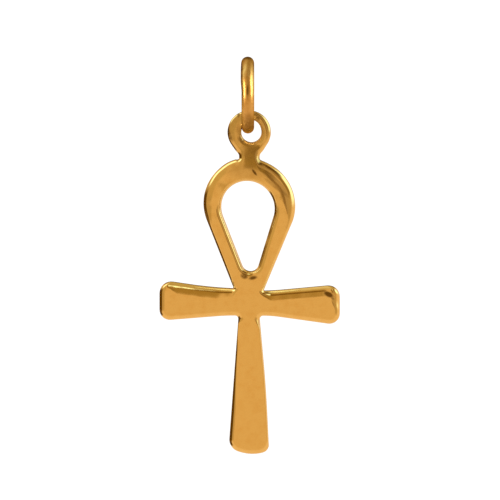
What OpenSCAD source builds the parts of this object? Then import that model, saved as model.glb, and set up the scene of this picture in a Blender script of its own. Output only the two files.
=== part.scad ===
// Ankh pendant: a cast gold ankh that hangs by its eyelet on a jump ring.
// Millimetres. +Z is up, the front faces -Y and +X is to the right.
// The origin is where the chain bears: the inside top of the jump ring.

/* [Jump ring] */
// Diameter of the jump ring's hole
ring_hole_d = 5.1; // [4.4:0.1:7]
// Diameter of the jump ring's wire
ring_wire_d = 1.3; // [0.8:0.05:1.6]

/* [Eyelet] */
// Diameter of the eyelet's hole, which the jump ring passes through
eyelet_hole_d = 2.2; // [1.8:0.05:2.6]
// Diameter of the eyelet's round wire
eyelet_wire_d = 1.05; // [0.9:0.05:1.4]
// Gap between the jump ring's wire and the eyelet that hangs on it
hang_gap = 0.05; // [0.02:0.01:0.12]
// Distance that the ankh hangs to the right of the jump ring's middle
hang_x = 0.15; // [0:0.05:0.3]

/* [Neck] */
// Width of the neck between the eyelet and the loop
neck_w = 2.2; // [1.8:0.05:2.8]
// Thickness of the neck from front to back
neck_t = 1.3; // [1.2:0.05:1.6]
// Height of the neck between the eyelet and the loop
neck_h = 0.6; // [0.3:0.02:1.2]
// Depth by which the eyelet's wire sinks into the neck
eyelet_sink = 0.35; // [0.2:0.05:0.5]

/* [Loop] */
// Width across the teardrop loop
loop_w = 9.24; // [8.4:0.02:10.6]
// Height of the loop above the middle of the crossbar
loop_h = 14.4; // [13:0.1:17]
// Width of the loop's hole at its round top
loop_hole_w = 5.3; // [4.4:0.1:5.8]
// Height of the loop's hole
loop_hole_h = 9; // [7.5:0.1:9.8]
// Width of the round lower end of the loop's hole
loop_hole_foot_w = 1.66; // [1.2:0.02:2]
// Height of the band above the loop's hole
loop_band_h = 2.25; // [1.8:0.05:2.8]
// Distance that the top of the loop's hole lies left of the middle
loop_hole_lean = 0.15; // [0:0.05:0.3]

/* [Crossbar] */
// Length of the crossbar over both arms
arm_span = 18.1; // [15:0.1:22]
// Width of the arms at their rounded ends
arm_end_w = 3.8; // [3:0.05:4.6]
// Width of the arms where they meet
arm_waist_w = 2.1; // [1.8:0.05:2.7]
// Radius of the arms' corners
arm_corner_r = 0.85; // [0.75:0.05:1.2]
// Tilt of the crossbar, left end up
arm_tilt = 1.4; // [0:0.1:2]

/* [Stem] */
// Height of the stem from the middle of the crossbar to its foot
stem_h = 15.15; // [12:0.05:19]
// Width of the foot across its rounded corners
foot_w = 3.9; // [3:0.05:4.8]
// Width of the loop and the stem where they meet
waist_w = 1.95; // [1.65:0.05:2.5]
// Radius of the foot's corners
foot_corner_r = 0.75; // [0.75:0.05:1.2]
// Rise of the foot's curved edge from its middle to its corners
foot_rise = 0.4; // [0.2:0.05:0.8]

/* [Casting] */
// Thickness of the casting from front to back
casting_t = 1.8; // [1.4:0.05:2.4]
// Width of the rounded edge, seen from the front
edge_w = 0.65; // [0.4:0.05:0.75]
// Thickness of the straight rim between the two rounded edges
rim_t = 0.2; // [0.1:0.05:0.4]

/* [Hidden] */
// Facets round a large and a small arc of the casting
large_arc_facets = 64;
small_arc_facets = 32;
// Angle between two rows of facets across the rounded edge
edge_step = 18;
// Largest share of a disc's radius that its rounded edge takes
most_edge = 0.85;
// Facets of the wires and of the neck's sides, whose surfaces are true circles
wire_facets = 48;
// Steps along the foot's curved edge, to each side of its middle
foot_steps = 4;
// Length by which a cut runs past the face that it cuts
cut_over = 0.1;

// The jump ring stands edge-on to the front and the chain bears in its top
ring_bend_d = ring_hole_d + ring_wire_d;
ring_centre_z = -ring_hole_d / 2;

// The eyelet's hole lies on the jump ring's lowest wire, a little beside its middle
eyelet_bend_d = eyelet_hole_d + eyelet_wire_d;
hang_reach = (eyelet_hole_d - ring_wire_d) / 2 - hang_gap;
hang_drop = sqrt(hang_reach * hang_reach - hang_x * hang_x);
eyelet_centre_z = -ring_hole_d - ring_wire_d / 2 - hang_drop;
eyelet_bottom_z = eyelet_centre_z - eyelet_hole_d / 2 - eyelet_wire_d;

// Heights down the casting
loop_top_z = eyelet_bottom_z - neck_h;
loop_centre_z = loop_top_z - loop_w / 2;
cross_z = loop_top_z - loop_h;
foot_z = cross_z - stem_h;

// The loop's hole runs between two round ends, seen from the front as [x, z]
hole_top_r = loop_hole_w / 2;
hole_top = [-loop_hole_lean, loop_top_z - loop_band_h - hole_top_r];
hole_foot_r = loop_hole_foot_w / 2;
hole_foot = [0, loop_top_z - loop_band_h - loop_hole_h + hole_foot_r];

// Half of the casting's edge as [inset, depth], from the rim to the front face
edge_curve = [
    for (a = [0 : edge_step : 90])
        [edge_w * (1 - cos(a)), rim_t / 2 + (casting_t - rim_t) / 2 * sin(a)]
];
// The whole edge, from one face to the other
edge_profile = concat(
    [for (i = [len(edge_curve) - 1 : -1 : 0]) [edge_curve[i][0], -edge_curve[i][1]]],
    edge_curve
);

// Closed ring of round wire with its axis along Z
module wire_ring(bend_d, wire_d) {
    rotate_extrude($fn = wire_facets)
        translate([bend_d / 2, 0]) circle(d = wire_d, $fn = wire_facets);
}

// Disc of the casting's thickness with rounded edges, seen face-on at [x, z].
// Its rounded edge takes at most most_edge of its radius.
module pebble(x, z, r, facets = small_arc_facets) {
    share = min(1, most_edge * r / edge_w);
    translate([x, 0, z]) rotate([90, 0, 0])
        rotate_extrude($fn = facets)
            polygon(concat(
                [[0, -casting_t / 2]],
                [for (p = edge_profile) [r - share * p[0], p[1]]],
                [[0, casting_t / 2]]
            ));
}

// Point at angle a of the loop hole's outline grown outwards, as [x, z].
// Of the two round ends, the one that reaches further in that direction counts.
function hole_point(a, grow) =
    let (
        out = [cos(a), sin(a)],
        at_top = hole_top * out + hole_top_r >= hole_foot * out + hole_foot_r
    )
    at_top ? hole_top + (hole_top_r + grow) * out : hole_foot + (hole_foot_r + grow) * out;

// Solid that cuts the loop's hole with its rounded edges
module loop_hole() {
    n = large_arc_facets;
    cut_t = casting_t / 2 + cut_over;
    rows = concat([[edge_w, -cut_t]], edge_profile, [[edge_w, cut_t]]);
    points = [
        for (row = rows, i = [0 : n - 1])
            let (p = hole_point(360 * i / n, row[0])) [p[0], row[1], p[1]]
    ];
    walls = [
        for (j = [0 : len(rows) - 2], i = [0 : n - 1], half = [0, 1])
            let (a = j * n + i, b = j * n + (i + 1) % n)
            half == 0 ? [a, b + n, a + n] : [a, b, b + n]
    ];
    front_cap = [[for (i = [n - 1 : -1 : 0]) i]];
    back_cap = [[for (i = [0 : n - 1]) (len(rows) - 1) * n + i]];
    polyhedron(points = points, faces = concat(walls, front_cap, back_cap));
}

// Teardrop loop, open in the middle
module loop() {
    difference() {
        hull() {
            pebble(0, loop_centre_z, loop_w / 2, large_arc_facets);
            pebble(0, cross_z, waist_w / 2);
        }
        loop_hole();
    }
}

// One arm of the crossbar, flared towards its end on the given side
module arm(side) {
    corner_x = side * (arm_span / 2 - arm_corner_r);
    corner_z = arm_end_w / 2 - arm_corner_r;
    translate([0, 0, cross_z]) rotate([0, arm_tilt, 0])
        hull() {
            pebble(0, 0, arm_waist_w / 2);
            pebble(corner_x, corner_z, arm_corner_r);
            pebble(corner_x, -corner_z, arm_corner_r);
        }
}

// Stem, flared towards a foot with a curved edge
module stem() {
    corner_x = foot_w / 2 - foot_corner_r;
    hull() {
        pebble(0, cross_z, waist_w / 2);
        for (i = [-foot_steps : foot_steps]) {
            s = i / foot_steps;
            pebble(s * corner_x, foot_z + foot_corner_r + foot_rise * s * s, foot_corner_r);
        }
    }
}

// Neck with round sides, from inside the loop's band up to the sunk eyelet
module neck() {
    bottom_z = loop_top_z - loop_band_h / 2;
    top_z = eyelet_bottom_z + eyelet_sink;
    side_x = (neck_w - neck_t) / 2;
    translate([0, 0, bottom_z])
        linear_extrude(height = top_z - bottom_z) {
            square([2 * side_x, neck_t], center = true);
            for (x = [-side_x, side_x])
                translate([x, 0]) circle(d = neck_t, $fn = wire_facets);
        }
}

// Eyelet on top of the casting, seen face-on from the front
module eyelet() {
    translate([0, 0, eyelet_centre_z]) rotate([90, 0, 0])
        wire_ring(eyelet_bend_d, eyelet_wire_d);
}

// Ankh cast in one with its eyelet
module ankh() {
    color("goldenrod") translate([hang_x, 0, 0]) {
        arm(-1);
        arm(1);
        loop();
        stem();
        neck();
        eyelet();
    }
}

// Soldered jump ring, seen edge-on from the front
module jump_ring() {
    color("gold")
        translate([0, 0, ring_centre_z]) rotate([0, 90, 0])
            wire_ring(ring_bend_d, ring_wire_d);
}

jump_ring();
ankh();
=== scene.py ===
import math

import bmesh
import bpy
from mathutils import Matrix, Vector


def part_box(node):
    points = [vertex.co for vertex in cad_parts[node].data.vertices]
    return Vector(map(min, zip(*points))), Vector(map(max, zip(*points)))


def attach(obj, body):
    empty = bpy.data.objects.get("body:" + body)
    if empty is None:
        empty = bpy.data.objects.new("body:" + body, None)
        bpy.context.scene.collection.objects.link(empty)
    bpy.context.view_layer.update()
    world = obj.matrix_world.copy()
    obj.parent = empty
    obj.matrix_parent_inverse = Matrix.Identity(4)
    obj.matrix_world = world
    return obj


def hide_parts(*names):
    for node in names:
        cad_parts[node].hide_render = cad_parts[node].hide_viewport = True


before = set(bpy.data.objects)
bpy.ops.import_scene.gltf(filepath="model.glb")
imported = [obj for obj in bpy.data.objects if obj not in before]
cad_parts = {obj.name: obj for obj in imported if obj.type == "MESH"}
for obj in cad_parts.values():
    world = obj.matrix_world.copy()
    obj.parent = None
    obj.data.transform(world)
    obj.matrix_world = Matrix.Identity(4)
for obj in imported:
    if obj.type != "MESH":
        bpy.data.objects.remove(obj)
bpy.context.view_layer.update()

# %% [markdown]
# The ankh pendant
#
# A gold ankh hangs by its eyelet on a jump ring, which is seen edge-on.
# The loop, crossbar, stem, neck and eyelet are one casting, polished by hand,
# and the jump ring is a bent piece of round wire with a soldered seam.
# The sizes come from the frame where it holds them, and the rest from the photo.

MM = 0.001

ring_low, ring_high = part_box("jump_ring")
ankh_low, ankh_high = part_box("ankh")

casting_t = ankh_high[1] - ankh_low[1]
middle_x = (ankh_low[0] + ankh_high[0]) / 2
foot_z = ankh_low[2]
stem_h = 15.16 * MM
cross_z = foot_z + stem_h
print("casting", round(casting_t / MM, 2), "mm thick, its middle", round(middle_x / MM, 2), "mm right")

# %% [markdown]
# Small helpers for working as by hand
#
# Blender's operators act on what is selected. So each step first says which
# points it wants by their place, and then runs the same operator that a
# modeller would use with the mouse.

# %% Helpers for selecting and editing
def start_clean():
    """Leaves edit mode with nothing selected."""
    if bpy.context.mode != "OBJECT":
        bpy.ops.object.mode_set(mode="OBJECT")
    bpy.ops.object.select_all(action="DESELECT")


def name_piece(name):
    """Names the new primitive and puts its place into its mesh."""
    piece = bpy.context.active_object
    piece.name = name
    piece.data.name = name
    bpy.ops.object.transform_apply(location=True, rotation=True, scale=True)
    return piece


def edit_only(piece):
    """Opens one piece for editing."""
    start_clean()
    piece.select_set(True)
    bpy.context.view_layer.objects.active = piece
    bpy.ops.object.mode_set(mode="EDIT")


def pick(test, mode="VERT"):
    """Selects the points, edges or faces of the edited mesh that pass the test."""
    bpy.ops.mesh.select_mode(type=mode)
    bpy.ops.mesh.select_all(action="DESELECT")
    data = bpy.context.edit_object.data
    mesh = bmesh.from_edit_mesh(data)
    items = {"VERT": mesh.verts, "EDGE": mesh.edges, "FACE": mesh.faces}[mode]
    count = 0
    for item in items:
        if test(item):
            item.select_set(True)
            count += 1
    mesh.select_flush_mode()
    bmesh.update_edit_mesh(data)
    return count


def near(x, z, reach=1e-5):
    """A test for a point that lies at x and z, seen from the front."""
    return lambda v: abs(v.co.x - x) < reach and abs(v.co.z - z) < reach


def ease(value, start, end):
    """Rises smoothly from 0 at start to 1 at end."""
    t = min(1, max(0, (value - start) / (end - start)))
    return t * t * (3 - 2 * t)


def rise_and_fall(value, start, full, fade, end):
    """Rises smoothly from 0 at start to 1 at full, and falls from fade to 0 at end."""
    return ease(value, start, full) * (1 - ease(value, fade, end))


def soft_push(shift):
    """Moves every point of the edited mesh by what shift gives for its place."""
    data = bpy.context.edit_object.data
    mesh = bmesh.from_edit_mesh(data)
    for v in mesh.verts:
        dx, dy, dz = shift(v.co)
        v.co.x += dx
        v.co.y += dy
        v.co.z += dz
    bmesh.update_edit_mesh(data)


# %% [markdown]
# The outline of the casting
#
# A caster starts from a flat outline. It is drawn here as one closed line:
# a circle for the loop, opened at the top for the neck and at the bottom for
# the limbs, and then carried on from corner to corner by extruding its end
# point. The corners are rounded afterwards, each by its own amount.
# The corners are in millimetres from the middle of the crossing. The crossbar
# leans a little, its left end up, and no two corners are quite the same,
# because the real one was filed by hand. The foot is a shallow arc between its
# two corners.

# %% Corners of the outline
# x and z from the crossing, and how far along its edges a corner is rounded
right_corners = (
    (1.43, 1.18, 0.14),
    (2.6, 1.22, 0.6),
    (9.05, 1.81, 1.28),
    (9.05, -2.31, 1.25),
    (2.2, -1.35, 0.7),
    (1.02, -1.35, 0.34),
    (1.66, -8.4, 2.4),
    (1.98, -14.84, 0.6),
)
left_corners = (
    (-2.07, -14.5, 0.85),
    (-1.09, -1.33, 0.34),
    (-2.4, -1.33, 0.8),
    (-8.99, -1.85, 1.15),
    (-8.99, 2.28, 1.4),
    (-4.2, 1.57, 1.6),
    (-1.57, 1.41, 0.14),
)
foot_arc_r = 4.3
foot_arc_x = 0.32
foot_arc = [
    (x, -stem_h / MM + foot_arc_r - math.sqrt(foot_arc_r**2 - (x - foot_arc_x) ** 2))
    for x in (1.1, 0.65, 0.2, -0.25, -0.7, -1.15)
]

# %% Helpers for drawing an outline
def place(corner):
    """Turns a corner given from the crossing into metres."""
    return corner[0] * MM, cross_z + corner[1] * MM


def draw_on(points):
    """Carries the line on from the picked end point to each point in turn."""
    for x, z in points:
        mesh = bmesh.from_edit_mesh(bpy.context.edit_object.data)
        end = next(v for v in mesh.verts if v.select)
        step = (x - end.co.x, 0, z - end.co.z)
        bpy.ops.mesh.extrude_vertices_move(TRANSFORM_OT_translate={"value": step})


def round_corner(x, z, length, segments=8):
    """Rounds the corner at x and z, starting at length along both edges."""
    found = pick(near(x, z))
    assert found == 1, (x / MM, z / MM, found)
    bpy.ops.mesh.bevel(
        affect="VERTICES", offset=length, segments=segments, profile=0.5, clamp_overlap=False
    )


def add_circle(x, z, radius, vertices):
    """Draws a circle that faces the front and leaves it selected."""
    bpy.ops.mesh.primitive_circle_add(
        vertices=vertices, radius=radius, location=(x, 0, z), rotation=(math.pi / 2, 0, 0)
    )


def lean_circle(x, z, amount):
    """Stretches the picked circle towards the upper left, and squeezes it across that."""
    centre = (x, 0, z)
    turn = {"orient_axis": "Y", "orient_type": "GLOBAL", "center_override": centre}
    bpy.ops.transform.rotate(value=-math.pi / 4, **turn)
    bpy.ops.transform.resize(value=(1 - amount, 1, 1 + amount), center_override=centre)
    bpy.ops.transform.rotate(value=math.pi / 4, **turn)


def keep_picked(test):
    """Leaves of the picked points only those that pass the test."""
    data = bpy.context.edit_object.data
    mesh = bmesh.from_edit_mesh(data)
    for v in mesh.verts:
        if v.select and not test(v):
            v.select_set(False)
    mesh.select_flush(False)
    bmesh.update_edit_mesh(data)


def line_ends():
    """The ends of the open lines in the edited mesh, as x and z."""
    mesh = bmesh.from_edit_mesh(bpy.context.edit_object.data)
    return [(v.co.x, v.co.z) for v in mesh.verts if len(v.link_edges) == 1]


# %% [markdown]
# The loop's circle
#
# The loop isn't quite round: its left shoulder stands a little higher than
# its right one. A circle that is stretched along one diagonal and squeezed
# along the other gives that, and a soft push lifts it a little beside the neck.

# %% Draw the loop and the lower outline
loop_r = 4.59 * MM
loop_z = cross_z + 9.77 * MM
loop_lean = 0.017
shoulder_lift = 0.1 * MM
# how far below the loop's middle each flank leaves the circle
left_flank = math.radians(21.5)
right_flank = math.radians(22.5)
# half of the neck's width, and how much wider the circle is opened for it
neck_half = 1.03 * MM
neck_room = 0.18 * MM

start_clean()
add_circle(0, loop_z, loop_r, vertices=128)
casting = name_piece("ankh_casting")
bpy.ops.object.mode_set(mode="EDIT")
bpy.ops.mesh.select_all(action="SELECT")
lean_circle(0, loop_z, loop_lean)


def shoulder_push(co):
    """Lifts the loop a little beside the neck, most of all at the left."""
    angle = math.degrees(math.atan2(co.z - loop_z, co.x))
    return 0, 0, shoulder_lift * rise_and_fall(angle, 60, 100, 114, 140)


soft_push(shoulder_push)
mesh = bmesh.from_edit_mesh(casting.data)
high_left = max(v.co.z for v in mesh.verts if v.co.x < -3 * MM)
high_right = max(v.co.z for v in mesh.verts if v.co.x > 3 * MM)
print("left shoulder higher by", round((high_left - high_right) / MM, 2), "mm")

pick(lambda v: v.co.x > 0 and v.co.z < loop_z - loop_r * math.sin(right_flank))
bpy.ops.mesh.delete(type="VERT")
pick(lambda v: v.co.x <= 0 and v.co.z < loop_z - loop_r * math.sin(left_flank))
bpy.ops.mesh.delete(type="VERT")
pick(lambda v: abs(v.co.x) < neck_half + neck_room and v.co.z > loop_z)
bpy.ops.mesh.delete(type="VERT")

ends = line_ends()
right_low = next(e for e in ends if e[0] > 0 and e[1] < loop_z)
left_low = next(e for e in ends if e[0] < 0 and e[1] < loop_z)
right_top = next(e for e in ends if e[0] > 0 and e[1] > loop_z)
left_top = next(e for e in ends if e[0] < 0 and e[1] > loop_z)
lower_line = [place(c) for c in (*right_corners, *foot_arc, *left_corners)]
pick(near(*right_low))
draw_on([*lower_line, left_low])

# %% [markdown]
# The neck and the eyelet
#
# The eyelet is a ring that the neck grows into, so its outer circle is opened
# at the bottom, and both of its ends are led down the neck's sides to the
# loop. The whole casting is then one closed line.

# %% Draw the eyelet and the neck
eyelet_r = 2.17 * MM
eyelet_x = -0.02 * MM
eyelet_z = -6.24 * MM
# below this height the eyelet's circle is opened
eyelet_open_z = eyelet_z - 1.36 * MM
# the neck's sides go from the loop up to a corner, flare out, and meet the circle
neck_foot_z = (right_top[1] + left_top[1]) / 2 + 0.06 * MM
neck_corner = (neck_half, -8.46 * MM)
neck_flare = (1.36 * MM, -8.12 * MM)

bpy.ops.mesh.select_all(action="DESELECT")
add_circle(eyelet_x, eyelet_z, eyelet_r, vertices=80)
pick(lambda v: loop_z + loop_r < v.co.z < eyelet_open_z)
bpy.ops.mesh.delete(type="VERT")
for side, top in ((1, right_top), (-1, left_top)):
    ends = line_ends()
    eyelet_end = next(e for e in ends if e[0] * side > 0 and e[1] > neck_flare[1])
    neck_side = [(side * x, z) for x, z in ((neck_half, neck_foot_z), neck_corner, neck_flare)]
    pick(near(*top))
    draw_on([*neck_side, eyelet_end])
bpy.ops.mesh.select_all(action="SELECT")
bpy.ops.mesh.remove_doubles(threshold=1e-6)
print("ends still open:", len(line_ends()))

# %% Round the corners
neck_foot_round = 0.16 * MM
neck_round = 0.2 * MM

for corner in (*right_corners, *left_corners):
    round_corner(*place(corner), corner[2] * MM)
for side in (-1, 1):
    round_corner(side * neck_half, neck_foot_z, neck_foot_round)
    round_corner(side * neck_corner[0], neck_corner[1], neck_round)
    round_corner(side * neck_flare[0], neck_flare[1], neck_round)
print("corners rounded:", len(right_corners) + len(left_corners), "and six at the neck")

# %% [markdown]
# The two holes
#
# The loop's hole is a teardrop: a circle whose lower part is shrunk to the
# small round foot and pulled down. Its top leans to the left with the loop.
# The eyelet's hole lies a little to the right, so that the left side is the
# wider one, and it is taller than wide, because the jump ring has worn its top.

# %% Draw the two holes
hole_top_r = 2.66 * MM
hole_top_x = -0.14 * MM
hole_top_z = cross_z + 9.47 * MM
hole_foot_r = 0.85 * MM
hole_foot_x = 0.09 * MM
hole_foot_z = cross_z + 3.98 * MM
hole_lean = 0.02
eyelet_hole_r = 1.0 * MM
eyelet_hole_x = 0.2 * MM
eyelet_hole_top_z = -5.04 * MM

bpy.ops.mesh.select_all(action="DESELECT")
add_circle(hole_top_x, hole_top_z, hole_top_r, vertices=96)
lean_circle(hole_top_x, hole_top_z, hole_lean)
hole_flank = math.asin((hole_top_r - hole_foot_r) / (hole_top_z - hole_foot_z))
hole_cut_z = hole_top_z - hole_top_r * math.sin(hole_flank)
keep_picked(lambda v: v.co.z < hole_cut_z)
shrink = hole_foot_r / hole_top_r
bpy.ops.transform.resize(value=(shrink, 1, shrink), center_override=(hole_top_x, 0, hole_top_z))
bpy.ops.transform.translate(value=(hole_foot_x - hole_top_x, 0, hole_foot_z - hole_top_z))

bpy.ops.mesh.select_all(action="DESELECT")
add_circle(eyelet_hole_x, eyelet_z, eyelet_hole_r, vertices=64)
keep_picked(lambda v: v.co.z > eyelet_z + 1e-6)
hole_stretch = (eyelet_hole_top_z - eyelet_z) / eyelet_hole_r
bpy.ops.transform.resize(value=(1, 1, hole_stretch), center_override=(0, 0, eyelet_z))
hole_h = hole_top_z + hole_top_r - hole_foot_z + hole_foot_r
print("the loop's hole is about", round(hole_h / MM, 1), "mm high")

# %% [markdown]
# The narrow side of the eyelet
#
# At the right, the wall between the eyelet's two rims is too narrow for two
# full rounded edges. So the rims are drawn apart there before the edges are
# made, and back again afterwards, while the innermost rows stay. That leaves
# two narrower edges that don't cross.

# %% Draw the eyelet's rims apart
# the whole eyelet lies within this reach of its middle
eyelet_zone = 2.6 * MM
# how far each of the two rims is drawn
rims_apart = 0.12 * MM


def nearer_rim(co, stretch=1):
    """The way out of the eyelet's wall at the nearer rim, as x and z, and if it is the hole's.

    The upper half of the hole counts as taller than round by the stretch.
    """
    x = co.x - eyelet_x
    z = co.z - eyelet_z
    reach = math.hypot(x, z)
    if reach > eyelet_zone:
        return 0, 0, False
    hole_x = co.x - eyelet_hole_x
    round_z = z / stretch if z > 0 else z
    if eyelet_r - reach < math.hypot(hole_x, round_z) - eyelet_hole_r:
        return x / reach, z / reach, False
    hole_reach = math.hypot(hole_x, z)
    return -hole_x / hole_reach, -z / hole_reach, True


def eyelet_apart(co):
    """Draws the two rims apart at the right of the eyelet."""
    angle = math.degrees(math.atan2(co.z - eyelet_z, co.x - eyelet_x))
    out_x, out_z, at_hole = nearer_rim(co)
    step = rims_apart * rise_and_fall(angle, -60, -25, 85, 120)
    return step * out_x, 0, step * out_z


soft_push(eyelet_apart)
wall_w = eyelet_x + eyelet_r - eyelet_hole_x - eyelet_hole_r
print("wall at the right:", round(wall_w / MM, 2), "mm, drawn apart by", round(2 * rims_apart / MM, 2), "mm")

# %% [markdown]
# Filling the outline
#
# The long straight lines get points of their own first, so that their edges
# can be worn by a different amount from place to place. Then everything
# between the outline and the two holes is filled.

# %% Fill between the outline and the holes
longest_line = 0.5 * MM


def fill_outline():
    """Fills the drawn outlines, and leaves a hole where one lies inside another."""
    bpy.ops.mesh.select_mode(type="EDGE")
    bpy.ops.mesh.select_all(action="SELECT")
    bpy.ops.mesh.fill(use_beauty=True)
    mesh = bmesh.from_edit_mesh(bpy.context.edit_object.data)
    print("outline filled:", len(mesh.verts), "points,", len(mesh.faces), "faces")


def split_long_lines(longest):
    """Halves every line that is longer than the given length, until none is left."""
    while pick(lambda e: e.calc_length() > longest, "EDGE"):
        bpy.ops.mesh.subdivide(number_cuts=1)


split_long_lines(longest_line)
fill_outline()

# %% [markdown]
# From outline to casting
#
# The filled outline is extruded by the height of the straight rim. Both faces
# are then inset again and again, each step a little inwards and upwards along
# a quarter of an ellipse, which rounds every edge at once.

# %% Rounded edges
rim_t = 0.16 * MM
edge_w = 0.54 * MM
edge_t = (casting_t - rim_t) / 2
# a last narrow inset, which keeps the face flat up to the rounded edge
hold_w = 0.02 * MM


def round_edges(width, rows=8):
    """Gives the filled outline its thickness and its rounded edges."""
    bpy.ops.mesh.select_all(action="SELECT")
    bpy.ops.mesh.extrude_region_move(TRANSFORM_OT_translate={"value": (0, -rim_t, 0)})
    bpy.ops.mesh.select_all(action="SELECT")
    bpy.ops.transform.translate(value=(0, rim_t / 2, 0))
    bpy.ops.mesh.normals_make_consistent(inside=False)
    pick(lambda f: abs(f.normal.y) > 0.99, "FACE")
    for row in range(rows):
        low = math.pi / 2 * row / rows
        high = math.pi / 2 * (row + 1) / rows
        bpy.ops.mesh.inset(
            thickness=width * (math.cos(low) - math.cos(high)),
            depth=edge_t * (math.sin(high) - math.sin(low)),
            use_even_offset=True,
            use_boundary=True,
        )
    bpy.ops.mesh.inset(thickness=hold_w, depth=0, use_even_offset=True, use_boundary=True)


round_edges(edge_w)

# %% [markdown]
# Where the edges are worn
#
# The rounded edge isn't equally wide everywhere. Where it is worn down further,
# its rows are pushed inwards, and where it is still narrow, they are pushed
# towards the rim. The innermost row moves most, and the rim stays where it is.
# Only the first push is different: it brings the eyelet's rims back.
# Each push fades out at both ends of its stretch. The stretches along the arms
# and the stem are in millimetres from the crossing, those on the eyelet in
# millimetres from its middle, those round the loop and its hole in degrees,
# counted from the right upwards, and those down the flanks in shares of a flank.

# %% Place across the edge
def inward_share(co):
    """How far a point lies across its rounded edge, from 0 at the rim to 1 at the face."""
    rise = min(1, max(0, (abs(co.y) - rim_t / 2) / edge_t))
    return 1 - math.sqrt(1 - rise**2)


# %% Wear on the arms
def arm_push(co):
    """Wears the top of both arms."""
    x = co.x / MM
    z = (co.z - cross_z) / MM
    if z < 0.2 or z > 2.4 or abs(x) < 1.2:
        return 0, 0, 0
    if x < 0:
        spread = rise_and_fall(x, -8.2, -7.3, -1.75, -1.3) * (0.62 - 0.3 * ease(x, -3.4, -1.9))
    else:
        spread = 0.52 * rise_and_fall(x, 1.2, 2.2, 7.6, 8.4)
    return 0, 0, -spread * MM * inward_share(co)


def tip_push(co):
    """Wears the upper part of the right tip."""
    x = co.x / MM
    z = (co.z - cross_z) / MM
    if x < 8.0:
        return 0, 0, 0
    spread = 0.36 * rise_and_fall(z, -0.7, 0.2, 0.5, 1.2) * ease(x, 8.1, 8.45)
    return -spread * MM * inward_share(co), 0, 0


# %% Wear on the loop
def loop_push(co):
    """Wears the outside of the upper loop, most of all at the right."""
    z = co.z - loop_z
    reach = math.hypot(co.x, z)
    angle = math.degrees(math.atan2(z, co.x)) % 360
    if reach < 3.6 * MM or 205 < angle < 330:
        return 0, 0, 0
    if angle > 270:
        angle -= 360
    right = rise_and_fall(angle, -25, 10, 70, 84) * (1 - 0.25 * ease(angle, 44, 70))
    left = rise_and_fall(angle, 102, 116, 180, 203)
    spread = (0.8 * right + 0.34 * left) * MM * inward_share(co)
    return -spread * co.x / reach, 0, -spread * z / reach


def flank_push(co):
    """Keeps the edge narrow down the loop's straight flanks."""
    side = math.copysign(1, co.x)
    flank = right_flank if side > 0 else left_flank
    crook = right_corners[0] if side > 0 else left_corners[-1]
    start_x = side * loop_r * math.cos(flank)
    start_z = loop_z - loop_r * math.sin(flank)
    end_x, end_z = place(crook)
    length = math.hypot(end_x - start_x, end_z - start_z)
    out_x = side * (start_z - end_z) / length
    out_z = side * (end_x - start_x) / length
    depth = (start_x - co.x) * out_x + (start_z - co.z) * out_z
    down = (start_z - co.z) / (start_z - end_z)
    if depth > 0.75 * MM or down < -0.1 or down > 1.02:
        return 0, 0, 0
    spread = 0.26 * rise_and_fall(down, -0.1, 0.12, 0.94, 1.02) * MM * inward_share(co)
    return spread * out_x, 0, spread * out_z


def hole_push(co):
    """Keeps the edge narrow round the top and the right of the loop's hole."""
    x = co.x - hole_top_x
    z = co.z - hole_top_z
    reach = math.hypot(x, z)
    if reach > hole_top_r + 0.75 * MM or z < -0.3 * hole_top_r:
        return 0, 0, 0
    angle = math.degrees(math.atan2(z, x))
    if angle < -90:
        angle += 360
    spread = 0.26 * rise_and_fall(angle, -16, 20, 150, 192) * MM * inward_share(co)
    return -spread * x / reach, 0, -spread * z / reach


# %% Narrow edges down the stem
def stem_push(co):
    """Keeps the edge narrow down the stem, at the left less and less towards the foot."""
    down = (cross_z - co.z) / MM
    if down < 1.6 or down > 14.6:
        return 0, 0, 0
    full = 2.6
    narrow = 0.36
    if co.x < 0:
        full = 2.1
        narrow = 0.48 - 0.12 * ease(down, 3, 5) - 0.28 * ease(down, 5, 12.5)
    spread = narrow * rise_and_fall(down, 1.6, full, 13.8, 14.6) * MM * inward_share(co)
    return math.copysign(spread, co.x), 0, 0


# %% Rounded side and rims of the eyelet
def eyelet_push(co):
    """Rounds the wide left side of the eyelet like a bent wire, and keeps its hole's edge narrow."""
    out_x, out_z, at_hole = nearer_rim(co, hole_stretch)
    wide = ease((eyelet_x - co.x) / MM, 0.2, 0.9) * ease((co.z - eyelet_z) / MM, -1.3, -0.3)
    step = (0.3 if at_hole else -0.35) * wide * MM * inward_share(co)
    return step * out_x, 0, step * out_z


def eyelet_back(co):
    """Draws the eyelet's rims back to their place, and leaves the innermost rows."""
    rest = 1 - inward_share(co)
    return [-rest * part for part in eyelet_apart(co)]


# %% Push the edges
pushes = (
    eyelet_back,
    arm_push,
    tip_push,
    loop_push,
    flank_push,
    hole_push,
    stem_push,
    eyelet_push,
)
for push in pushes:
    soft_push(push)
print("pushes:", len(pushes))

# %% [markdown]
# The neck's slope
#
# The eyelet is thinner than the loop, and the neck sinks from one to the other
# in a long soft slope. Its flat faces have no points of their own to bend, so
# they are cut into a grid first, and then drawn towards the middle.

# %% Give the neck's faces points
row_heights = [(-10.6 + 0.2 * step) * MM for step in range(18)]
column_places = [(-1.6 + 0.4 * step) * MM for step in range(9)]
# in square metres
sliver_area = 1e-9


def neck_face(f):
    """True for a flat face of the neck, front or back, that isn't a sliver."""
    height = f.calc_center_median().z
    flat = abs(f.normal.y) > 0.99
    return flat and f.calc_area() > sliver_area and -11.6 * MM < height < -7.0 * MM


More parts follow.
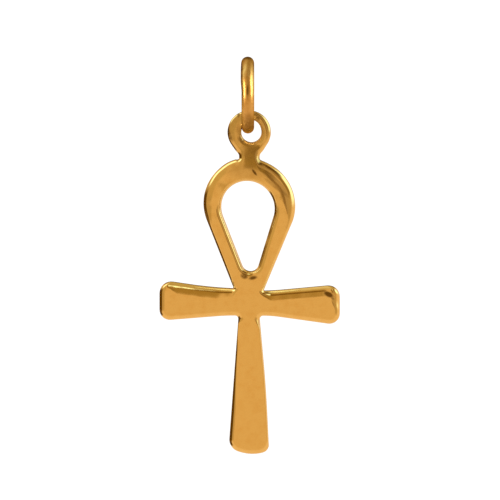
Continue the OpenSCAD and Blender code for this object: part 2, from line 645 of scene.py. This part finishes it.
for z in row_heights:
    pick(neck_face, "FACE")
    bpy.ops.mesh.bisect(plane_co=(0, 0, z), plane_no=(0, 0, 1))
for x in column_places:
    pick(neck_face, "FACE")
    bpy.ops.mesh.bisect(plane_co=(x, 0, 0), plane_no=(1, 0, 0))
bpy.ops.mesh.select_all(action="SELECT")
bpy.ops.mesh.remove_doubles(threshold=2e-6)

# %% Thin the neck
# the eyelet's thickness as a share of the loop's
eyelet_thin = 0.63


def thin_neck(co):
    """Thins the neck and the eyelet, a little more towards their sides, but not the loop's shoulders."""
    z = co.z / MM
    x = abs(co.x) / MM
    side = 1 - ease(x, 0.7, 1.9) * (1 - ease(z, -9.1, -8.6))
    thin = (1 - eyelet_thin) * ease(z, -9.9, -7.2) * side
    thin += 0.04 * min(x, 1) ** 2 * ease(z, -10.2, -9.4)
    return 0, -co.y * thin, 0


soft_push(thin_neck)

# %% Close the casting
bpy.ops.mesh.select_all(action="SELECT")
bpy.ops.mesh.normals_make_consistent(inside=False)
bpy.ops.transform.translate(value=(middle_x, 0, 0))
mesh = bmesh.from_edit_mesh(casting.data)
print("open edges left:", sum(1 for e in mesh.edges if len(e.link_faces) != 2))
bpy.ops.object.mode_set(mode="OBJECT")
bpy.ops.object.shade_smooth()
print("casting:", len(casting.data.vertices), "points,", [round(c / MM, 2) for c in casting.dimensions])

# %% [markdown]
# The jump ring
#
# The jump ring is round wire bent to a circle, so a torus at its true size is
# the right start. Its two ends were soldered in front, where a shallow groove is
# left, and the wire grows a touch thicker above it and leans a little to the left.

# %% Jump ring
wire_r = (ring_high[0] - ring_low[0]) / 2
ring_r = (ring_high[2] - ring_low[2]) / 2
ring_z = (ring_high[2] + ring_low[2]) / 2
seam_angle = math.radians(1)
# shares of the wire's radius, and how far it leans
swell = 0.06
worn_off = 0.025
groove_depth = 0.012
lean_left = 0.04 * MM

start_clean()
bpy.ops.mesh.primitive_torus_add(
    major_segments=192,
    minor_segments=48,
    major_radius=ring_r - wire_r,
    minor_radius=wire_r,
    location=(0, 0, ring_z),
    rotation=(0, math.pi / 2, 0),
)
ring = name_piece("ring_wire")


def seam_push(co):
    """Leaves a groove at the seam, and above it thickens the wire and leans it to the left."""
    angle = math.atan2(co.z - ring_z, -co.y)
    along = (angle - seam_angle) % (2 * math.pi)
    above = rise_and_fall(math.degrees(along), 0, 24, 30, 140)
    groove = 1 - ease(math.degrees(min(along, 2 * math.pi - along)), 0, 3)
    bend_y = -(ring_r - wire_r) * math.cos(angle)
    bend_z = ring_z + (ring_r - wire_r) * math.sin(angle)
    grow = swell * above - worn_off - groove_depth * groove
    return (
        co.x * grow - lean_left * above,
        (co.y - bend_y) * grow,
        (co.z - bend_z) * grow,
    )


edit_only(ring)
soft_push(seam_push)
bpy.ops.object.mode_set(mode="OBJECT")
bpy.ops.object.shade_smooth()
print("ring:", round(2 * ring_r / MM, 2), "mm across, its wire", round(2 * wire_r / MM, 2), "mm")

# %% [markdown]
# Gold
#
# Polished gold is all reflection, so its colour is that of the metal, with
# painted shade added in spots, and its life comes from the surface: the slow
# waves that a hand-held buff leaves, fine scratches, and a slightly matt skin
# where the shade is painted.
# The waves and scratches are a node group, which every gold piece uses.

# %% Helpers for nodes
def add(tree, kind, **inputs):
    """Adds a node and sets the named inputs."""
    node = tree.nodes.new("ShaderNode" + kind)
    for key, value in inputs.items():
        node.inputs[key].default_value = value
    return node


def calc(tree, operation, first, second=0.0):
    """Adds a Math node; each input is a socket or a number."""
    node = tree.nodes.new("ShaderNodeMath")
    node.operation = operation
    for socket, value in zip(node.inputs, (first, second)):
        if isinstance(value, (int, float)):
            socket.default_value = value
        else:
            tree.links.new(value, socket)
    return node.outputs[0]


def rising(tree, value, start, end):
    """Adds a Map Range node that rises smoothly from 0 to 1."""
    node = tree.nodes.new("ShaderNodeMapRange")
    node.interpolation_type = "SMOOTHSTEP"
    node.inputs["From Min"].default_value = start
    node.inputs["From Max"].default_value = end
    tree.links.new(value, node.inputs["Value"])
    return node.outputs["Result"]


def mix_colours(tree, share, first, second):
    """Adds a Mix node for two colours; each is a socket or a colour."""
    node = tree.nodes.new("ShaderNodeMix")
    node.data_type = "RGBA"
    tree.links.new(share, node.inputs[0])
    for socket, value in ((node.inputs[6], first), (node.inputs[7], second)):
        if isinstance(value, tuple):
            socket.default_value = value
        else:
            tree.links.new(value, socket)
    return node.outputs[2]


# %% Hand polish, as a node group
polish = bpy.data.node_groups.new("hand_polish", "ShaderNodeTree")
polish.interface.new_socket("Vector", in_out="INPUT", socket_type="NodeSocketVector")
polish.interface.new_socket("Waves", in_out="OUTPUT", socket_type="NodeSocketFloat")
polish.interface.new_socket("Scratches", in_out="OUTPUT", socket_type="NodeSocketFloat")
polish.interface.new_socket("Cloud", in_out="OUTPUT", socket_type="NodeSocketFloat")
polish_in = polish.nodes.new("NodeGroupInput")
polish_out = polish.nodes.new("NodeGroupOutput")
waves = add(polish, "TexNoise", Scale=420.0, Detail=1.0, Roughness=0.4)
cloud = add(polish, "TexNoise", Scale=1500.0, Detail=4.0, Roughness=0.6)
hairs = add(polish, "TexNoise", Scale=1.0, Detail=3.0, Roughness=0.6)
drawn_out = add(polish, "Mapping", Scale=(2600, 2600, 14000), Rotation=(0.2, 0.5, 0.1))
for node in (waves, cloud, drawn_out):
    polish.links.new(polish_in.outputs["Vector"], node.inputs["Vector"])
polish.links.new(drawn_out.outputs["Vector"], hairs.inputs["Vector"])
polish.links.new(waves.outputs["Fac"], polish_out.inputs["Waves"])
polish.links.new(hairs.outputs["Fac"], polish_out.inputs["Scratches"])
polish.links.new(cloud.outputs["Fac"], polish_out.inputs["Cloud"])

# %% [markdown]
# Painted shade and dark reflections
#
# Dark brown is painted into the gold's colour where it should show shade or a
# dark reflection: in corners and crooks, at the foot of the loop's hole, on the
# loop's top, the neck and the eyelet, and on the ring's top, sides, front and
# lowest part. Each is a soft round spot in the piece's own space, stretched and
# turned by a Mapping node and broken up by the cloud noise. The spots are also a
# little matt.

# %% Helper for a soft spot
def spot(tree, vector, centre, radii, turn):
    """A mask that is 1 at the centre, given in millimetres, and 0 from the radii outwards."""
    mapping = add(
        tree,
        "Mapping",
        Location=[c * MM for c in centre],
        Rotation=(0, math.radians(turn), 0),
        Scale=[r * MM for r in radii],
    )
    mapping.vector_type = "TEXTURE"
    ball = tree.nodes.new("ShaderNodeTexGradient")
    ball.gradient_type = "SPHERICAL"
    tree.links.new(vector, mapping.inputs["Vector"])
    tree.links.new(mapping.outputs["Vector"], ball.inputs["Vector"])
    return ball.outputs["Fac"]


# %% Gold material
gold_tone = (0.94, 0.64, 0.26, 1)
deep_tone = (0.91, 0.59, 0.22, 1)
wire_tone = (0.76, 0.45, 0.16, 1)
wire_deep = (0.64, 0.35, 0.1, 1)
mirrored_tone = (0.82, 0.74, 0.58, 1)
# the dark brown of the painted shade and dark reflections in the spots
painted_shade_tone = (0.18, 0.09, 0.015, 1)


def make_gold(name, tones, rim_tint, roughness, still_wave, full_wave, wavy_from, scratch, spots):
    """A polished gold, wavier above a height, with scratches, and painted shade, a little matt, at the given
    spots.
    """
    material = bpy.data.materials.new(name)
    material.use_nodes = True
    tree = material.node_tree
    shader = tree.nodes["Principled BSDF"]
    shader.inputs["Metallic"].default_value = 1
    shader.inputs["Specular Tint"].default_value = rim_tint
    coord = add(tree, "TexCoord")
    place_of = coord.outputs["Object"]
    group = tree.nodes.new("ShaderNodeGroup")
    group.node_tree = polish
    tree.links.new(place_of, group.inputs["Vector"])
    cloud = group.outputs["Cloud"]

    # tone: clouds of two golds, and painted shade and dark reflections where the spots are
    tone = mix_colours(tree, rising(tree, cloud, 0.4, 0.75), *tones)
    painted_shade_mask = 0.0
    for centre, radii, lean, strength in spots:
        soft = rising(tree, spot(tree, place_of, centre, radii, lean), 0, 0.7)
        painted_shade_mask = calc(tree, "MAXIMUM", calc(tree, "MULTIPLY", soft, strength), painted_shade_mask)
    broken = calc(tree, "MULTIPLY", calc(tree, "SUBTRACT", rising(tree, cloud, 0.3, 0.6), 0.6), painted_shade_mask)
    painted_shade_mask = calc(tree, "MINIMUM", calc(tree, "MULTIPLY", painted_shade_mask, calc(tree, "ADD", broken, 1.0)), 0.95)
    tone = mix_colours(tree, painted_shade_mask, tone, painted_shade_tone)
    # gold that shows as a reflection in gold is made paler, as in the photo
    ray = add(tree, "LightPath")
    tone = mix_colours(tree, ray.outputs["Is Glossy Ray"], tone, mirrored_tone)
    tree.links.new(tone, shader.inputs["Base Color"])

    # roughness: the clouds and scratches add 0.07 on average, so that is taken off
    cloud_part = calc(tree, "MULTIPLY", cloud, 0.08)
    scratch_part = calc(tree, "MULTIPLY", group.outputs["Scratches"], 0.06)
    # the spots of painted shade are also a little matt
    shade_matt_part = calc(tree, "MULTIPLY", painted_shade_mask, 0.25)
    rough = calc(tree, "ADD", calc(tree, "ADD", cloud_part, scratch_part), roughness - 0.07)
    tree.links.new(calc(tree, "ADD", rough, shade_matt_part), shader.inputs["Roughness"])

    # bumps: waves that grow with the height, and scratches on top of them
    height_at = add(tree, "SeparateXYZ")
    tree.links.new(place_of, height_at.inputs[0])
    wavy = rising(tree, height_at.outputs[2], wavy_from, wavy_from + 4 * MM)
    still = still_wave / full_wave
    share = calc(tree, "ADD", calc(tree, "MULTIPLY", wavy, 1 - still), still)
    wave_bump = add(tree, "Bump", Strength=1.0, Distance=full_wave)
    tree.links.new(calc(tree, "MULTIPLY", group.outputs["Waves"], share), wave_bump.inputs["Height"])
    fine_bump = add(tree, "Bump", Strength=1.0, Distance=scratch)
    tree.links.new(group.outputs["Scratches"], fine_bump.inputs["Height"])
    tree.links.new(wave_bump.outputs["Normal"], fine_bump.inputs["Normal"])
    tree.links.new(fine_bump.outputs["Normal"], shader.inputs["Normal"])
    return material


# %% Spots of painted shade on the two pieces
def seen_at(x, z, y=-0.9):
    """A place on the front of the casting, from the crossing, in millimetres."""
    return middle_x / MM + x, y, cross_z / MM + z


# place, radii, lean in degrees and strength of each spot
# each spot paints shade or a dark reflection into the gold's colour
casting_shade_spots = (
    # painted dark reflections and shade at the foot of the loop's hole and in the two crooks above the arms
    (seen_at(-0.52, 2.62), (0.5, 0.8, 0.36), 20, 0.95),
    (seen_at(0.35, 2.45), (0.6, 0.8, 0.26), -12, 0.7),
    (seen_at(-1.62, 1.75), (0.16, 0.8, 0.45), 0, 0.7),
    (seen_at(1.85, 0.95), (0.55, 0.8, 0.16), 12, 0.9),
    # a painted dark reflection on the right tip
    (seen_at(7.9, 0.8), (0.7, 0.8, 0.35), 25, 0.95),
    (seen_at(8.25, 0.45), (0.36, 0.8, 0.18), 45, 0.5),
    # painted dark reflections on the top of the loop, at the right, and beside the neck
    (seen_at(0.5, 12.98), (0.62, 0.8, 0.2), 53, 0.8),
    (seen_at(1.0, 14.15, -0.5), (0.4, 1.6, 0.6), 0, 0.55),
    (seen_at(2.66, 11.5), (2.2, 0.8, 0.3), 38, 0.34),
    (seen_at(1.7, 12.7), (1.2, 0.8, 0.32), 35, 0.28),
    # weak, wide painted shade over the loop's top, the neck and the eyelet
    (seen_at(0, 13.2), (3.2, 1.6, 1.5), 0, 0.2),
    (seen_at(0, 15.2, -0.5), (1.3, 2.2, 2.2), 0, 0.36),
    (seen_at(0, 17.9, -0.5), (4.2, 2.2, 3.4), 0, 0.24),
    # painted dark streaks on the eyelet, and painted shade where the ring rests in it
    (seen_at(-0.9, 16.2, -0.5), (0.3, 1.2, 0.7), -35, 0.5),
    (seen_at(-2.0, 16.8, -0.5), (0.24, 1.2, 1.2), -20, 0.7),
    (seen_at(0.8, 18.3, -0.5), (0.42, 0.8, 0.42), 30, 0.7),
    (seen_at(-1.1, 18.75, -0.5), (0.22, 0.8, 0.5), 0, 0.8),
)
wire_shade_spots = (
    # a painted dark reflection down the front of the wire, above the seam
    ((-0.03, -4.2, -2.35), (0.17, 1.5, 1.1), 0, 0.75),
    # painted shade on the lowest wire and on the top
    ((0.1, -2.6, -5.7), (1.3, 2.4, 1.7), 0, 0.45),
    ((0, -0.8, 1.55), (2.4, 3.4, 1.0), 0, 0.95),
    # painted shade on both sides of the upper wire, and a weak one between them
    ((-0.8, -2.6, -0.2), (0.46, 5.0, 2.6), 0, 0.95),
    ((0.84, -2.6, 0.5), (0.5, 5.0, 2.2), 0, 0.95),
    ((0, -2.4, -0.1), (1.4, 4.0, 1.7), 0, 0.22),
)
casting.data.materials.clear()
casting.data.materials.append(
    make_gold(
        "ankh_gold",
        (gold_tone, deep_tone),
        rim_tint=(1, 1, 1, 1),
        roughness=0.12,
        still_wave=0.05 * MM,
        full_wave=0.15 * MM,
        wavy_from=cross_z + 2.5 * MM,
        scratch=0.0012 * MM,
        spots=casting_shade_spots,
    )
)
ring.data.materials.clear()
ring.data.materials.append(
    make_gold(
        "ring_gold",
        (wire_tone, wire_deep),
        rim_tint=(0.5, 0.36, 0.2, 1),
        roughness=0.34,
        still_wave=0.01 * MM,
        full_wave=0.02 * MM,
        wavy_from=0,
        scratch=0.0003 * MM,
        spots=wire_shade_spots,
    )
)
print("spots:", len(casting_shade_spots), "on the casting,", len(wire_shade_spots), "on the ring")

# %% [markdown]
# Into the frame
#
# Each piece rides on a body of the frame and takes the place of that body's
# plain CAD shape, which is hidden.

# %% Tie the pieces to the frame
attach(casting, "ankh")
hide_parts("ankh")
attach(ring, "jump_ring")
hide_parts("jump_ring")

# %% [markdown]
# Floor
#
# A plain pale disc, well below the pendant and out of the camera's view. The
# gold doesn't mirror it. The room is as warm as gold, so a cool soft lamp above
# the disc, which lights nothing else, keeps it pale.

# %% Floor
floor_r = 0.7
floor_z = -0.2

start_clean()
bpy.ops.mesh.primitive_circle_add(
    vertices=96, radius=floor_r, fill_type="NGON", location=(0, 0, floor_z)
)
floor = bpy.context.active_object
floor.name = "floor"
pale = bpy.data.materials.new("pale_floor")
pale.use_nodes = True
pale.node_tree.nodes["Principled BSDF"].inputs["Base Color"].default_value = (0.86, 0.87, 0.98, 1)
pale.node_tree.nodes["Principled BSDF"].inputs["Roughness"].default_value = 0.8
floor.data.materials.append(pale)
floor.visible_glossy = False

# %% Lamp for the floor
floor_light = bpy.data.lights.new("floor_light", "AREA")
floor_light.size = 1.0
floor_light.energy = 3.0
floor_light.color = (0.8, 0.9, 1)
floor_lamp = bpy.data.objects.new("floor_lamp", floor_light)
bpy.context.scene.collection.objects.link(floor_lamp)
floor_lamp.location = (0, 0, 0.6)
floor_only = bpy.data.collections.new("lit_by_floor_lamp")
floor_only.objects.link(floor)
floor_lamp.light_linking.receiver_collection = floor_only

# %% [markdown]
# Light
#
# Polished metal shows the room, so the room is made here out of soft cards: an
# even warm tone behind the camera, pale below, dark cloths above, bright strips
# beyond them and a dark edge at the left. Behind the pendant there is wood, and
# a dark cloth above it. A card is described by its turn round the camera's line,
# counted from the right upwards, and by its angle from the camera's side. Its
# tone is given as it should look on the gold. A later card lies over the ones
# before it. The camera itself sees plain white behind the pendant.

# %% Tones of the room
def seen_on_gold(red, green, blue, strength=1.0):
    """The tone of a card that looks like the given colour, each part 0 to 255, on the gold."""
    tone = []
    for part, gold in zip((red, green, blue), gold_tone):
        tone.append(strength * ((part / 255 + 0.055) / 1.055) ** 2.4 / gold)
    return (*tone, 1)


even_warm = seen_on_gold(222, 161, 76)
pale_warm = seen_on_gold(236, 176, 92)
wood = seen_on_gold(189, 137, 60)
light_wood = seen_on_gold(200, 147, 64)
olive = seen_on_gold(165, 114, 36)
brown = seen_on_gold(114, 68, 2)
deep_brown = seen_on_gold(92, 54, 0)
shade = seen_on_gold(130, 88, 28)
strip = seen_on_gold(255, 236, 150, 1.5)
mild_strip = seen_on_gold(226, 184, 100)
dim_brown = seen_on_gold(142, 95, 36)
hazel = seen_on_gold(182, 132, 62)
umber = seen_on_gold(142, 98, 34)
tan = seen_on_gold(192, 148, 66)
dull_gold = seen_on_gold(206, 160, 76)
cream = seen_on_gold(221, 187, 139)

# %% Cards
# turn, half of its width and that edge's softness, first and last angle and their softness, tone
cards = (
    # below, and at the right
    (270, 80, 25, 46, 190, 28, pale_warm),
    (12, 22, 10, 16, 70, 12, wood),
    (350, 30, 12, 80, 190, 8, pale_warm),
    # at the left
    (170, 16, 8, 14, 84, 10, wood),
    (158, 11, 6, 80, 150, 6, wood),
    (203, 12, 7, 98, 190, 8, deep_brown),
    (177, 14, 6, 80, 190, 6, deep_brown),
    # at the upper left
    (145, 25, 11, 12, 78, 9, light_wood),
    (126, 24, 8, 82, 108, 5, strip),
    # at the upper right, band by band away from the camera
    (38, 28, 8, 8, 22, 4, dim_brown),
    (38, 26, 8, 24, 42, 4, hazel),
    (42, 22, 7, 48, 66, 4, umber),
    (32, 22, 8, 74, 116, 6, strip),
    (32, 26, 8, 118, 142, 6, cream),
    # further up at the right
    (62, 14, 6, 12, 40, 4, shade),
    (62, 14, 6, 44, 58, 4, hazel),
    (60, 16, 6, 63, 88, 5, deep_brown),
    (64, 14, 6, 94, 190, 6, dull_gold),
    # above, for the top edges of the arms
    (82, 14, 5, 5, 190, 4, olive),
    (79, 5, 2, 57, 69, 3, strip),
    (80, 7, 3, 73, 190, 4, tan),
    (93, 7, 3, 46, 60, 4, brown),
    (89, 4, 3, 72, 190, 5, tan),
    (96, 5, 3, 74, 190, 6, dull_gold),
    (96, 4, 3, 90, 190, 8, mild_strip),
    # above behind the pendant, and straight behind it
    (90, 40, 14, 136, 190, 6, deep_brown),
    (90, 165, 14, 170, 190, 5, wood),
)

# %% Directions in the room
world = bpy.data.worlds.new("studio")
bpy.context.scene.world = world
world.use_nodes = True
room = world.node_tree
room.nodes.clear()
direction = add(room, "TexCoord")
split = add(room, "SeparateXYZ")
room.links.new(direction.outputs["Generated"], split.inputs[0])
right, back, up = split.outputs
from_camera = calc(room, "DEGREES", calc(room, "ARCCOSINE", calc(room, "MULTIPLY", back, -1.0)))
# a little more than 1, so that nothing is divided by 0 straight in front or behind
across = calc(room, "SQRT", calc(room, "SUBTRACT", 1.0001, calc(room, "MULTIPLY", back, back)))
rightward = calc(room, "DIVIDE", right, across)
upward = calc(room, "DIVIDE", up, across)

# %% Hang the cards
def hang_card(tones, turn, width, soft, first, last, fade, tone):
    """Lays one card over the tones that the room has so far."""
    turn_right = calc(room, "MULTIPLY", rightward, math.cos(math.radians(turn)))
    turn_up = calc(room, "MULTIPLY", upward, math.sin(math.radians(turn)))
    facing = calc(room, "ADD", turn_right, turn_up)
    outer = math.cos(math.radians(width + soft))
    inner = math.cos(math.radians(width - soft))
    beside = rising(room, facing, outer, inner)
    begun = rising(room, from_camera, first - fade, first + fade)
    ended = rising(room, from_camera, last - fade, last + fade)
    share = calc(room, "MULTIPLY", beside, calc(room, "SUBTRACT", begun, ended))
    return mix_colours(room, share, tones, tone)


tones = even_warm
for card in cards:
    tones = hang_card(tones, *card)
print("cards:", len(cards))

# %% Light the room
lit = add(room, "Background")
room.links.new(tones, lit.inputs["Color"])
seen = add(room, "Background", Color=(1, 1, 1, 1), Strength=1.1)
path = add(room, "LightPath")
either = add(room, "MixShader")
room.links.new(path.outputs["Is Camera Ray"], either.inputs[0])
room.links.new(lit.outputs[0], either.inputs[1])
room.links.new(seen.outputs[0], either.inputs[2])
world_out = add(room, "OutputWorld")
room.links.new(either.outputs[0], world_out.inputs["Surface"])

# %% [markdown]
# Lamps for the ring
#
# The wire of the ring shows two tall bright lines with a darker one between
# them. Two small lamps in front of it, left and right, give the bright lines, and
# the darker one is a painted dark reflection on the wire. A wide weak lamp behind
# it, low at the left, brightens its lower left rim. Light linking keeps all three
# off the casting.

# %% Hang the lamps
strip_reach = 0.25
strip_tone = (1, 0.88, 0.62)
ring_only = bpy.data.collections.new("lit_by_strips")
ring_only.objects.link(ring)


def hang_strip(name, sideways, upwards, width, height, watts):
    """Hangs a lamp that faces the ring, sideways to the right and upwards in degrees."""
    lamp_data = bpy.data.lights.new(name, "AREA")
    lamp_data.shape = "RECTANGLE"
    lamp_data.size = width
    lamp_data.size_y = height
    lamp_data.energy = watts
    lamp_data.color = strip_tone
    lamp = bpy.data.objects.new(name, lamp_data)
    bpy.context.scene.collection.objects.link(lamp)
    side = math.radians(sideways)
    rise = math.radians(upwards)
    lamp.location = (
        strip_reach * math.sin(side) * math.cos(rise),
        -strip_reach * math.cos(side) * math.cos(rise),
        ring_z + strip_reach * math.sin(rise),
    )
    lamp.rotation_euler = (math.pi / 2 - rise, 0, side)
    lamp.light_linking.receiver_collection = ring_only


hang_strip("left_strip", -64, 9, 0.08, 0.1, 0.28)
hang_strip("right_strip", 72, 18, 0.08, 0.17, 0.36)
hang_strip("edge_strip", -128, -24, 0.25, 0.2, 0.12)

# %% [markdown]
# Camera
#
# The photo was taken straight from the front, from some distance, so a long
# lens is used, and the field is 50 mm wide at the pendant.

# %% Camera
field = 50 * MM
aim_x = middle_x + 0.06 * MM
aim_z = -18.03 * MM
camera_data = bpy.data.cameras.new("camera")
camera_data.lens = 200
camera_data.sensor_width = 36
camera_data.clip_start = 0.01
camera = bpy.data.objects.new("camera", camera_data)
bpy.context.scene.collection.objects.link(camera)
distance = field * camera_data.lens / camera_data.sensor_width
camera.location = (aim_x, -distance, aim_z)
camera.rotation_euler = (math.pi / 2, 0, 0)
bpy.context.scene.camera = camera
bpy.context.scene.view_settings.view_transform = "Standard"
print("camera", round(distance / MM), "mm in front of the pendant")

# %% [markdown]
# Finishing
#
# The scene is left out of edit mode, with nothing selected.

# %% Leave the scene with nothing selected
start_clean()
